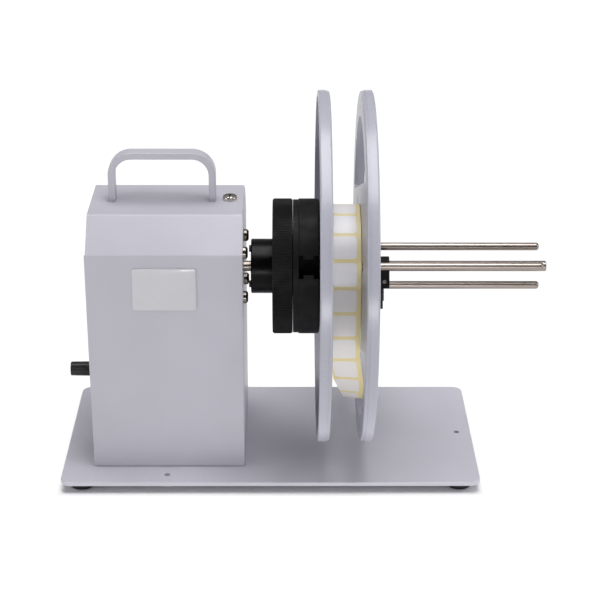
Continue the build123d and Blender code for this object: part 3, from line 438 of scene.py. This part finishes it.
# ---------------------------------------------------------------- hub and chuck drum
# Turned aluminium, anodised black: the drum is satin, the hub a shade deeper.
# Fine turning lines run round it, so its highlights are drawn out along the spindle.
anodised = "#110F11"
hub_black = "#060506"
oxide_black = "#2A292B"
turning_pitch = 0.35    # mm between the tool marks, drawn coarser than the real ones
turning_drift = 12.0    # changes of depth in each metre of a mark
turning_cloud = 9.0     # mm, patches of duller and glossier skin


def turned_black(name, code, roughness, pitch, depth, index):
    """Black anodised aluminium with tool marks across the spindle's direction."""
    material, tree = new_material(name)
    place = add(tree, "ShaderNodeTexCoord", {}, {})
    squeeze = add(tree, "ShaderNodeMapping", {}, {
        "Vector": place.outputs["Object"],
        "Scale": (1 / (pitch * MM), turning_drift, turning_drift)})
    lines = add(tree, "ShaderNodeTexNoise", {}, {
        "Vector": squeeze.outputs[0], "Scale": 1.0, "Detail": 2.0})
    cloud = add(tree, "ShaderNodeTexNoise", {}, {
        "Vector": place.outputs["Object"], "Scale": 1 / (turning_cloud * MM), "Detail": 2.0})
    rough = add(tree, "ShaderNodeMapRange", {}, {
        "Value": cloud.outputs["Fac"], "From Min": 0.3, "From Max": 0.7,
        "To Min": roughness * 0.85, "To Max": roughness * 1.2})
    bump = add(tree, "ShaderNodeBump", {}, {
        "Height": lines.outputs["Fac"], "Strength": 1.0, "Distance": depth * MM})
    skin = add(tree, "ShaderNodeBsdfPrincipled", {}, {
        "Base Color": linear(code), "Roughness": rough.outputs["Result"],
        "Normal": bump.outputs[0], "IOR": index})
    add(tree, "ShaderNodeOutputMaterial", {}, {"Surface": skin.outputs[0]})
    return material


black_satin = turned_black("black_anodised_aluminium", anodised, 0.55, turning_pitch, 0.003, 1.25)
black_deep = turned_black("black_anodised_hub", hub_black, 0.28, turning_pitch, 0.002, 1.2)
black_oxide = plated("black_oxide_steel", oxide_black, 0.35, 1.0)
dress(black_satin, "chuck_body", "jaw_1", "jaw_2", "jaw_3", "clamp_hub")
dress(black_deep, "chuck_hub")
dress(black_oxide, "hub_screws", "hub_grip_screws", "inner_flange_screws", "clamp_hub_screws")


# ---------------------------------------------------------------- scroll ring
# A black ring that turns on the drum's boss and drives the three rods in and out.
# Its rim is straight knurled, one ridge each 1.5 mm, so that it can be gripped by hand.
knurl_pitch = 1.5       # mm along the rim
knurl_height = 0.45     # mm
knurl_margin = 0.9      # mm of plain rim at each side
knurl_root = 0.25       # mm that the middle of a ridge lies below the rim
ring_wall_steps = 240

ring_low, ring_high = (Vector(corner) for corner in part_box("scroll_ring"))
axis_y = (ring_low.y + ring_high.y) / 2
axis_z = (ring_low.z + ring_high.z) / 2
spindle_tilt = math.radians(21.2)


def on_spindle(x, y, z):
    """A point in the spindle's frame: x away from the operator, y up, z along the spindle."""
    return Vector((
        z,
        axis_y + x * math.cos(spindle_tilt) + y * math.sin(spindle_tilt),
        axis_z - x * math.sin(spindle_tilt) + y * math.cos(spindle_tilt),
    ))


def turned_solid(name, profile, steps):
    """A solid of revolution about the spindle, from a closed outline of (radius, x)."""
    mesh = bmesh.new()
    rings = []
    for k in range(steps):
        angle = 2 * math.pi * k / steps
        rings.append([
            mesh.verts.new(on_spindle(r * math.cos(angle), r * math.sin(angle), x))
            for r, x in profile])
    count = len(profile)
    for k in range(steps):
        one = rings[k]
        two = rings[(k + 1) % steps]
        for i in range(count):
            j = (i + 1) % count
            mesh.faces.new((one[i], one[j], two[j], two[i]))
    bmesh.ops.recalc_face_normals(mesh, faces=mesh.faces)
    data = bpy.data.meshes.new(name)
    mesh.to_mesh(data)
    mesh.free()
    return data


ring_radius = (ring_high.z - ring_low.z) / 2
ring_root = ring_radius - knurl_height * MM
ring_bore = 19.05 * MM
ring_bevel = 0.6 * MM
ring_outline = [
    (ring_bore, ring_low.x), (ring_root - ring_bevel, ring_low.x),
    (ring_root, ring_low.x + ring_bevel), (ring_root, ring_high.x - ring_bevel),
    (ring_root - ring_bevel, ring_high.x), (ring_bore, ring_high.x),
]
ring_data = turned_solid("scroll_ring_body", ring_outline, ring_wall_steps)
smooth(ring_data, 30)
ring_data.materials.append(black_satin)
ring_object = bpy.data.objects.new("scroll_ring_body", ring_data)
bpy.context.scene.collection.objects.link(ring_object)

knurl = bpy.data.node_groups.new("straight_knurl", "GeometryNodeTree")
for name, kind, way in (
        ("Geometry", "NodeSocketGeometry", "INPUT"), ("Ridges", "NodeSocketInt", "INPUT"),
        ("Root radius", "NodeSocketFloat", "INPUT"), ("Ridge radius", "NodeSocketFloat", "INPUT"),
        ("Ridge length", "NodeSocketFloat", "INPUT"), ("Centre", "NodeSocketVector", "INPUT"),
        ("Geometry", "NodeSocketGeometry", "OUTPUT")):
    knurl.interface.new_socket(name=name, in_out=way, socket_type=kind)
inlet = add(knurl, "NodeGroupInput", {}, {})
ridge = add(knurl, "GeometryNodeMeshCylinder", {"fill_type": "NGON"}, {
    "Vertices": 4, "Radius": inlet.outputs["Ridge radius"],
    "Depth": inlet.outputs["Ridge length"]})
circle = add(knurl, "GeometryNodeMeshCircle", {}, {
    "Vertices": inlet.outputs["Ridges"], "Radius": inlet.outputs["Root radius"]})
place = add(knurl, "GeometryNodeInputPosition", {}, {})
turn = add(knurl, "FunctionNodeAlignEulerToVector", {"axis": "X"}, {
    "Vector": place.outputs[0]})
many = add(knurl, "GeometryNodeInstanceOnPoints", {}, {
    "Points": circle.outputs["Mesh"], "Instance": ridge.outputs["Mesh"],
    "Rotation": turn.outputs[0]})
lay = add(knurl, "GeometryNodeTransform", {}, {
    "Geometry": many.outputs[0], "Translation": inlet.outputs["Centre"],
    "Rotation": (0.0, math.pi / 2, 0.0)})
solid = add(knurl, "GeometryNodeRealizeInstances", {}, {"Geometry": lay.outputs[0]})
black = add(knurl, "GeometryNodeSetMaterial", {}, {"Geometry": solid.outputs[0]})
black.inputs["Material"].default_value = black_satin
whole = add(knurl, "GeometryNodeJoinGeometry", {}, {})
knurl.links.new(inlet.outputs["Geometry"], whole.inputs[0])
knurl.links.new(black.outputs[0], whole.inputs[0])
add(knurl, "NodeGroupOutput", {}, {"Geometry": whole.outputs[0]})

knurl_step = ring_object.modifiers.new("straight_knurl", "NODES")
knurl_step.node_group = knurl
knurl_sizes = {
    "Ridges": round(2 * math.pi * ring_radius / (knurl_pitch * MM)),
    "Root radius": ring_root - knurl_root * MM,
    "Ridge radius": (knurl_height + knurl_root) * MM,
    "Ridge length": ring_high.x - ring_low.x - 2 * knurl_margin * MM,
    "Centre": ((ring_low.x + ring_high.x) / 2, axis_y, axis_z),
}
for item in knurl.interface.items_tree:
    if item.in_out == "INPUT" and item.name in knurl_sizes:
        knurl_step[item.identifier] = knurl_sizes[item.name]
bpy.context.view_layer.update()
baked = bpy.data.meshes.new_from_object(
    ring_object.evaluated_get(bpy.context.evaluated_depsgraph_get()))
ring_object.modifiers.remove(knurl_step)
bpy.data.objects.remove(ring_object)
baked.name = "scroll_ring_knurled"
baked.materials.clear()
scroll_ring = new_piece("scroll_ring_knurled", baked, [black_satin], "scroll")
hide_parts("scroll_ring")


# ---------------------------------------------------------------- rods and shafts
# Bright drawn steel bar: the three rods, the centre shaft and the motor's output shaft.
# Drawing leaves fine lines along the bar and a soft, slightly warm shine.
bright_steel = "#9C928C"
draw_pitch = 1.0        # mm between the lines, drawn coarser than real so that they show
draw_run = 600.0        # mm that a line keeps its shade for


def drawn_steel(name, code, roughness, pitch):
    """Drawn bar with fine lines along X."""
    material, tree = new_material(name)
    place = add(tree, "ShaderNodeTexCoord", {}, {})
    stretch = add(tree, "ShaderNodeMapping", {}, {
        "Vector": place.outputs["Object"],
        "Scale": (1 / (draw_run * MM), 1 / (pitch * MM), 1 / (pitch * MM))})
    lines = add(tree, "ShaderNodeTexNoise", {}, {
        "Vector": stretch.outputs[0], "Scale": 1.0, "Detail": 0.0})
    rough = add(tree, "ShaderNodeMapRange", {}, {
        "Value": lines.outputs["Fac"], "From Min": 0.3, "From Max": 0.7,
        "To Min": roughness * 0.85, "To Max": roughness * 1.15})
    shade = add(tree, "ShaderNodeMapRange", {}, {
        "Value": lines.outputs["Fac"], "To Min": 0.94, "To Max": 1.05})
    colour = add(tree, "ShaderNodeVectorMath", {"operation": "SCALE"}, {
        0: linear(code)[:3], "Scale": shade.outputs["Result"]})
    bump = add(tree, "ShaderNodeBump", {}, {
        "Height": lines.outputs["Fac"], "Strength": 1.0, "Distance": 0.001 * MM})
    metal = add(tree, "ShaderNodeBsdfPrincipled", {}, {
        "Base Color": colour.outputs[0], "Metallic": 1.0,
        "Roughness": rough.outputs["Result"], "Normal": bump.outputs[0]})
    add(tree, "ShaderNodeOutputMaterial", {}, {"Surface": metal.outputs[0]})
    return material


drawn_bar = drawn_steel("bright_drawn_steel", bright_steel, 0.34, draw_pitch)
dress(drawn_bar, "rod_1", "rod_2", "rod_3", "centre_shaft", "drive_shaft", "clamp_pin",
      "clamp_lever_strip")


# ---------------------------------------------------------------- flanges
# Two dished discs with D-shaped windows, turned and milled, then painted grey.
# The paint is smoother than the housing's powder coat.
flange_grey = "#ABABB7"
flange_paint = powder_coat("satin_grey_paint", flange_grey, 0.26, 0.004)
dress(flange_paint, "inner_flange", "outer_flange")


# ---------------------------------------------------------------- lock lever
# A flat black lever that swings on its pin and clamps the outer flange to the centre shaft.
dress(abs_plastic, "clamp_lever")


# ---------------------------------------------------------------- card core
# A spiral-wound tube of brown card that slides over the rods.
# The strip it is wound from leaves a seam that goes round at a slant.
card_brown = "#8A6B4A"
card_fibre = 0.8        # mm
card, tree = new_material("spiral_wound_card")
place = add(tree, "ShaderNodeTexCoord", {}, {})
fibre = add(tree, "ShaderNodeTexNoise", {}, {
    "Vector": place.outputs["Object"], "Scale": 1 / (card_fibre * MM), "Detail": 4.0})
shade = add(tree, "ShaderNodeMapRange", {}, {
    "Value": fibre.outputs["Fac"], "From Min": 0.25, "From Max": 0.75,
    "To Min": 0.8, "To Max": 1.15})
colour = add(tree, "ShaderNodeVectorMath", {"operation": "SCALE"}, {
    0: linear(card_brown)[:3], "Scale": shade.outputs["Result"]})
bump = add(tree, "ShaderNodeBump", {}, {
    "Height": fibre.outputs["Fac"], "Strength": 1.0, "Distance": 0.04 * MM})
skin = add(tree, "ShaderNodeBsdfPrincipled", {}, {
    "Base Color": colour.outputs[0], "Roughness": 0.85, "Normal": bump.outputs[0]})
add(tree, "ShaderNodeOutputMaterial", {}, {"Surface": skin.outputs[0]})
dress(card, "label_core")


# ---------------------------------------------------------------- wound roll
# Many laps of yellow release liner that carries white labels, wound on the card core.
# The roll's sides show the edge of each lap, and no two laps lie quite level.
liner_yellow = "#F8E9B0"
edge_cream = "#E2DCC8"
lap_step = 0.55         # mm, several laps drawn as one ridge
lap_unevenness = 0.12   # mm
roll_steps = 160
random.seed(7)

roll_low, roll_high = (Vector(corner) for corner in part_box("label_roll"))
roll_radius = (roll_high.z - roll_low.z) / 2
core_low, core_high = (Vector(corner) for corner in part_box("label_core"))
roll_bore = (core_high.z - core_low.z) / 2 + 0.02 * MM


def web_paper(name, code, roughness, fibre, depth, coat, thin=0.0):
    """Coated paper: faint fibres and a light gloss; thin is the share of light it lets through."""
    material, tree = new_material(name)
    place = add(tree, "ShaderNodeTexCoord", {}, {})
    fine = add(tree, "ShaderNodeTexNoise", {}, {
        "Vector": place.outputs["Object"], "Scale": 1 / (fibre * MM), "Detail": 3.0})
    shade = add(tree, "ShaderNodeMapRange", {}, {
        "Value": fine.outputs["Fac"], "From Min": 0.3, "From Max": 0.7,
        "To Min": 0.975, "To Max": 1.02})
    colour = add(tree, "ShaderNodeVectorMath", {"operation": "SCALE"}, {
        0: linear(code)[:3], "Scale": shade.outputs["Result"]})
    bump = add(tree, "ShaderNodeBump", {}, {
        "Height": fine.outputs["Fac"], "Strength": 1.0, "Distance": depth * MM})
    skin = add(tree, "ShaderNodeBsdfPrincipled", {}, {
        "Base Color": colour.outputs[0], "Roughness": roughness, "Normal": bump.outputs[0],
        "Coat Weight": coat, "Coat Roughness": 0.25})
    if thin:
        through = add(tree, "ShaderNodeBsdfTranslucent", {}, {"Color": colour.outputs[0]})
        skin = add(tree, "ShaderNodeMixShader", {}, {
            0: thin, 1: skin.outputs[0], 2: through.outputs[0]})
    add(tree, "ShaderNodeOutputMaterial", {}, {"Surface": skin.outputs[0]})
    return material


liner_paper = web_paper("yellow_glassine_liner", liner_yellow, 0.42, 1.2, 0.004, 0.2)
edge_paper = web_paper("cut_paper_edges", edge_cream, 0.8, 0.5, 0.03, 0.0)


def wound_outline():
    """Outline of the roll's section, with uneven lap edges on both sides."""
    count = int((roll_radius - roll_bore) / (lap_step * MM))
    left = []
    right_side = []
    for i in range(count + 1):
        radius = roll_bore + (roll_radius - roll_bore) * i / count
        outer = i in (0, count)
        left.append((radius, roll_low.x + (0 if outer else random.uniform(0, lap_unevenness) * MM)))
        right_side.append(
            (radius, roll_high.x - (0 if outer else random.uniform(0, lap_unevenness) * MM)))
    return left + right_side[::-1]


roll_data = turned_solid("label_roll_wound", wound_outline(), roll_steps)
roll_data.materials.append(edge_paper)
roll_data.materials.append(liner_paper)
for face in roll_data.polygons:
    radius = math.hypot(face.center.y - axis_y, face.center.z - axis_z)
    face.material_index = 1 if radius > roll_radius - 0.1 * MM else 0
smooth(roll_data, 30)
label_roll = new_piece("label_roll_wound", roll_data, [], "spindle")
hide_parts("label_roll")


# ---------------------------------------------------------------- outer lap and hanging tail
# The last lap lies on the roll, leaves it below the front and hangs, curling under the roll.
# The web is liner with one row of die-cut labels, a wider yellow margin at its right edge.
web_thickness = 0.16    # mm, liner
label_thickness = 0.14  # mm
label_pitch = 20.4
label_gap = 2.8
label_left = 1.3        # mm of liner left of the labels
label_right = 3.3       # mm of liner right of the labels
label_corner = 2.2
tail_start = math.radians(199.3)
tail_straight = 2.4
tail_curl = 0.00232         # per mm, at the end of the straight run
tail_curl_growth = 0.0001016
tail_length = 115.5
tail_drift = 4.0        # mm that the loose end hangs towards the free end of the spindle
tail_twist = math.radians(6.0)
tail_swing_start = 50.0
tail_swing_length = 45.0
tail_step = 0.5
tear_start = 84.0       # mm along the web, where its left edge was torn off at a slant
tear_slope = 0.25
label_white = "#FAF8F9"
web_width = (roll_high.x - roll_low.x) / MM
white_paper = web_paper("white_label_paper", label_white, 0.40, 1.0, 0.003, 0.35)
hanging_label = web_paper("white_label_hanging", label_white, 0.40, 1.0, 0.003, 0.35, 0.2)
hanging_liner = web_paper("yellow_liner_hanging", liner_yellow, 0.42, 1.2, 0.004, 0.2, 0.2)


def tail_turn(along):
    """How far the web has curled at a distance along it."""
    past_bend = max(along - tail_straight, 0.0)
    return tail_curl * past_bend + tail_curl_growth * past_bend ** 2 / 2


def web_point(along, lift, across):
    """A point of the web: mm along it from where it leaves the roll, lifted off it, across X."""
    radius = roll_radius / MM
    if along <= 0:
        angle = tail_start + along / radius
        x = (radius + lift) * math.cos(angle)
        y = (radius + lift) * math.sin(angle)
        return on_spindle(x * MM, y * MM, roll_low.x + across * MM)
    x = radius * math.cos(tail_start)
    y = radius * math.sin(tail_start)
    steps = max(1, round(along / tail_step))
    for i in range(steps):
        heading = tail_start + tail_turn((i + 0.5) * along / steps)
        x -= math.sin(heading) * along / steps
        y += math.cos(heading) * along / steps
    heading = tail_start + tail_turn(along)
    share = min(max((along - tail_swing_start) / tail_swing_length, 0.0), 1.0)
    swing = share ** 2 * (3 - 2 * share)
    twist = tail_twist * swing
    middle = web_width / 2
    out = (across - middle) * math.sin(twist) + lift * math.cos(twist)
    z = middle + tail_drift * swing + (across - middle) * math.cos(twist) - lift * math.sin(twist)
    x += out * math.cos(heading)
    y += out * math.sin(heading)
    return on_spindle(x * MM, y * MM, roll_low.x + z * MM)


def torn_edge(along):
    """How far the web's left edge is torn away."""
    return max(0.0, (along - tear_start) * tear_slope)


def strip(mesh, stations, low_lift, high_lift, index):
    """A thin closed strip through stations of (along, left, right)."""
    layers = []
    for along, left, right_edge in stations:
        layers.append([
            mesh.verts.new(web_point(along, low_lift, left)),
            mesh.verts.new(web_point(along, low_lift, right_edge)),
            mesh.verts.new(web_point(along, high_lift, right_edge)),
            mesh.verts.new(web_point(along, high_lift, left)),
        ])
    for one, two in zip(layers, layers[1:]):
        for i in range(4):
            j = (i + 1) % 4
            face = mesh.faces.new((one[i], one[j], two[j], two[i]))
            face.material_index = index
    for layer in (layers[0], layers[-1]):
        face = mesh.faces.new(layer)
        face.material_index = index


def label_stations(start, end, left, right_edge, corner):
    """Stations along one label, drawn in at both ends for its rounded corners."""
    inset = [0.0, 0.12, 0.35, 0.7, 1.0]
    body = [0.125, 0.25, 0.375, 0.5, 0.625, 0.75, 0.875]
    alongs = [start + corner * t for t in inset]
    alongs += [start + corner + (end - start - 2 * corner) * t for t in body]
    alongs += [end - corner * t for t in inset[::-1]]
    stations = []
    for along in alongs:
        depth = min(along - start, end - along, corner)
        pull = corner - math.sqrt(max(0.0, corner ** 2 - (corner - depth) ** 2))
        stations.append((along, left + pull, right_edge - pull))
    return stations


def hanging_stations():
    """Stations along the tail as (along, label's left, label's right, on a label)."""
    stations = [(0.0, label_left + label_corner, web_width - label_right - label_corner, False)]
    start = label_gap / 2
    while start < tail_length - 1.0:
        one_label = label_stations(
            start, start + label_pitch - label_gap, label_left, web_width - label_right,
            label_corner)
        for along, left, right_edge in one_label:
            if along < tail_length - 0.2:
                stations.append((along, left, right_edge, along < one_label[-1][0]))
        start += label_pitch
    last = stations[-1]
    return stations + [(tail_length, last[1], last[2], False)]


# The tail is one thin sheet, so that light from behind comes through liner and label together.
tail_mesh = bmesh.new()
tail_rows = []
for along, left, right_edge, on_label in hanging_stations():
    torn = torn_edge(along)
    left = max(left, torn + 0.05)
    row = [tail_mesh.verts.new(web_point(along, 0.0, torn)),
           tail_mesh.verts.new(web_point(along, 0.0, web_width))]
    for across in (web_width, right_edge, left, torn):
        row.append(tail_mesh.verts.new(web_point(along, web_thickness + label_thickness, across)))
    tail_rows.append((row, on_label))
for (one, on_label), (two, _) in zip(tail_rows, tail_rows[1:]):
    for i in range(6):
        j = (i + 1) % 6
        face = tail_mesh.faces.new((one[i], one[j], two[j], two[i]))
        face.material_index = 1 if on_label and i == 3 else 0
for row, _ in (tail_rows[0], tail_rows[-1]):
    tail_mesh.faces.new(row)
bmesh.ops.recalc_face_normals(tail_mesh, faces=tail_mesh.faces)
tail_data = bpy.data.meshes.new("label_tail_web")
tail_mesh.to_mesh(tail_data)
tail_mesh.free()
smooth(tail_data, 30)
tail = new_piece(
    "label_tail_web", tail_data, [hanging_liner, hanging_label], "spindle")
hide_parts("label_tail")

lap_mesh = bmesh.new()
lap_length = 2 * math.pi * roll_radius / MM
label = 1
while label * label_pitch < lap_length - label_pitch / 2:
    end = -(label - 1) * label_pitch - label_gap / 2
    start = end - label_pitch + label_gap
    strip(lap_mesh, label_stations(
        start, end, label_left, web_width - label_right, label_corner),
        0.0, label_thickness, 0)
    label += 1
bmesh.ops.recalc_face_normals(lap_mesh, faces=lap_mesh.faces)
lap_data = bpy.data.meshes.new("labels_on_roll")
lap_mesh.to_mesh(lap_data)
lap_mesh.free()
smooth(lap_data, 30)
new_piece("labels_on_roll", lap_data, [white_paper], "spindle")
